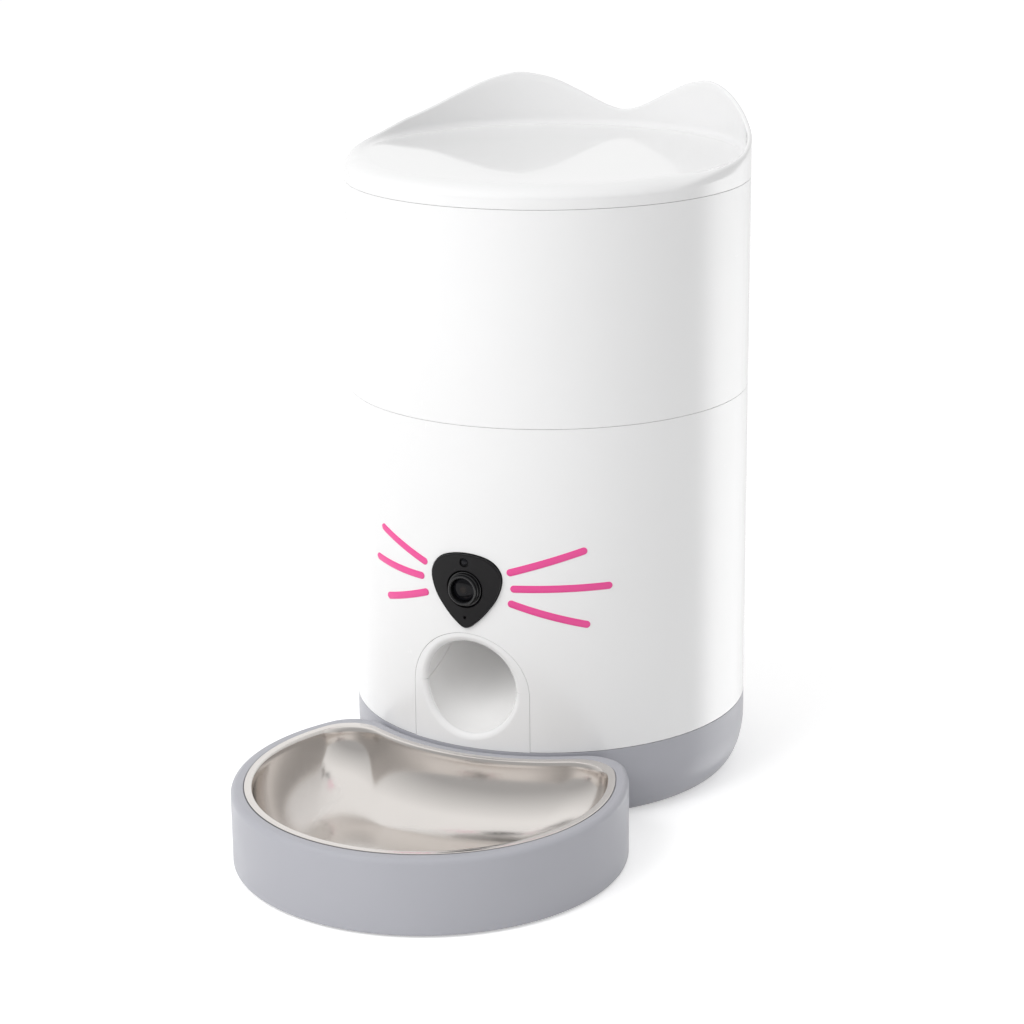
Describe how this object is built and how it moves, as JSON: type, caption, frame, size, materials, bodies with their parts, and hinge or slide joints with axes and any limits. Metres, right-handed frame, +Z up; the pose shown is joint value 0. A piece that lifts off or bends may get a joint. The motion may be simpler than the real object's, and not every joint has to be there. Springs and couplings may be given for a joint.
{
  "type": "pet feeder with camera",
  "caption": "Round automatic pet feeder with an eared lid, a camera in the nose panel, a front outlet and a docked steel dish.",
  "frame": {"origin": "on the floor, under the middle of the feeder's box", "axes": "+Z up, the outlet and the bowl face -Y, the power inlet faces +Y"},
  "size_m": [0.195, 0.3282, 0.3332],
  "materials": {
    "white_gloss": "gloss",
    "grey_satin": "satin",
    "light_grey_plastic": "satin",
    "black_matte": "matte",
    "black_gloss": "gloss",
    "lens_glass": "polished",
    "pink_print": "printed",
    "satin_steel": "satin",
    "zinc_metal": "zinc plated",
    "brass": "turned",
    "rubber": "matte",
    "silicone": "matte",
    "nylon": "moulded",
    "rotor_plastic": "satin",
    "circuit_board": "solder resist",
    "tank_plastic": "translucent",
    "desiccant_fleece": "fleece"
  },
  "bodies": {
    "feeder_body": {"base_shell": "grey_satin", "base_plate": "grey_satin", "base_foot_1": "rubber", "base_foot_2": "rubber", "base_foot_3": "rubber", "base_foot_4": "rubber", "base_screw_1": "zinc_metal", "base_screw_2": "zinc_metal", "base_screw_3": "zinc_metal", "base_screw_4": "zinc_metal", "lower_body_shell": "white_gloss", "nose_panel": "black_matte", "camera_barrel": "black_gloss", "camera_lens": "lens_glass", "light_sensor": "lens_glass", "camera_module": "circuit_board", "microphone": "zinc_metal", "whisker_left_1": "pink_print", "whisker_left_2": "pink_print", "whisker_left_3": "pink_print", "whisker_right_1": "pink_print", "whisker_right_2": "pink_print", "whisker_right_3": "pink_print", "chute_cover": "white_gloss", "outlet_chute": "white_gloss", "dispenser_deck": "light_grey_plastic", "metering_guard": "light_grey_plastic", "shaft_bush": "brass", "gear_motor": "zinc_metal", "motor_bracket": "zinc_metal", "motor_screw_1": "zinc_metal", "motor_screw_2": "zinc_metal", "main_board": "circuit_board", "speaker": "rubber", "rear_board": "circuit_board", "power_inlet": "black_matte"},
    "hopper": {"hopper_shell": "white_gloss", "food_tank": "tank_plastic", "tank_funnel": "tank_plastic"},
    "lid": {"lid": "white_gloss", "lid_seal": "silicone", "desiccant_box": "light_grey_plastic", "desiccant_pack": "desiccant_fleece"},
    "desiccant_cap": {"desiccant_cap": "light_grey_plastic"},
    "rotor": {"rotor": "rotor_plastic", "rotor_shaft": "zinc_metal", "drive_gear": "nylon"},
    "pinion": {"motor_pinion": "nylon"},
    "button": {"reset_button": "light_grey_plastic"},
    "bowl": {"bowl_holder": "grey_satin", "holder_foot_1": "rubber", "holder_foot_2": "rubber", "holder_foot_3": "rubber"},
    "dish": {"steel_dish": "satin_steel"}
  },
  "joints": [
    {"name": "hopper_lift", "type": "slide", "parent": "feeder_body", "child": "hopper", "axis": [0, 0, 1], "range_m": [0, 0.08]},
    {"name": "lid_lift", "type": "slide", "parent": "hopper", "child": "lid", "axis": [0, 0, 1], "range_m": [0, 0.05]},
    {"name": "desiccant_cap_turn", "type": "hinge", "parent": "lid", "child": "desiccant_cap", "pos_m": [0, 0.0666, 0.2884], "axis": [0, 0, 1], "range_deg": [0, 30]},
    {"name": "rotor_spin", "type": "hinge", "parent": "feeder_body", "child": "rotor", "pos_m": [0, 0.0666, 0.16], "axis": [0, 0, 1], "continuous": true},
    {"name": "pinion_spin", "type": "hinge", "parent": "feeder_body", "child": "pinion", "pos_m": [0, 0.0866, 0.15], "axis": [0, 0, 1], "continuous": true},
    {"name": "reset_press", "type": "slide", "parent": "feeder_body", "child": "button", "axis": [0, -1, 0], "range_m": [0, 0.001], "stiffness_N_per_m": 400},
    {"name": "bowl_pull", "type": "slide", "parent": "feeder_body", "child": "bowl", "axis": [0, -1, 0], "range_m": [0, 0.06]},
    {"name": "dish_lift", "type": "slide", "parent": "bowl", "child": "dish", "axis": [0, 0, 1], "range_m": [0, 0.05]}
  ],
  "couplings": [
    {"joint": "pinion_spin", "follows": "rotor_spin", "ratio": -2.2}
  ]
}
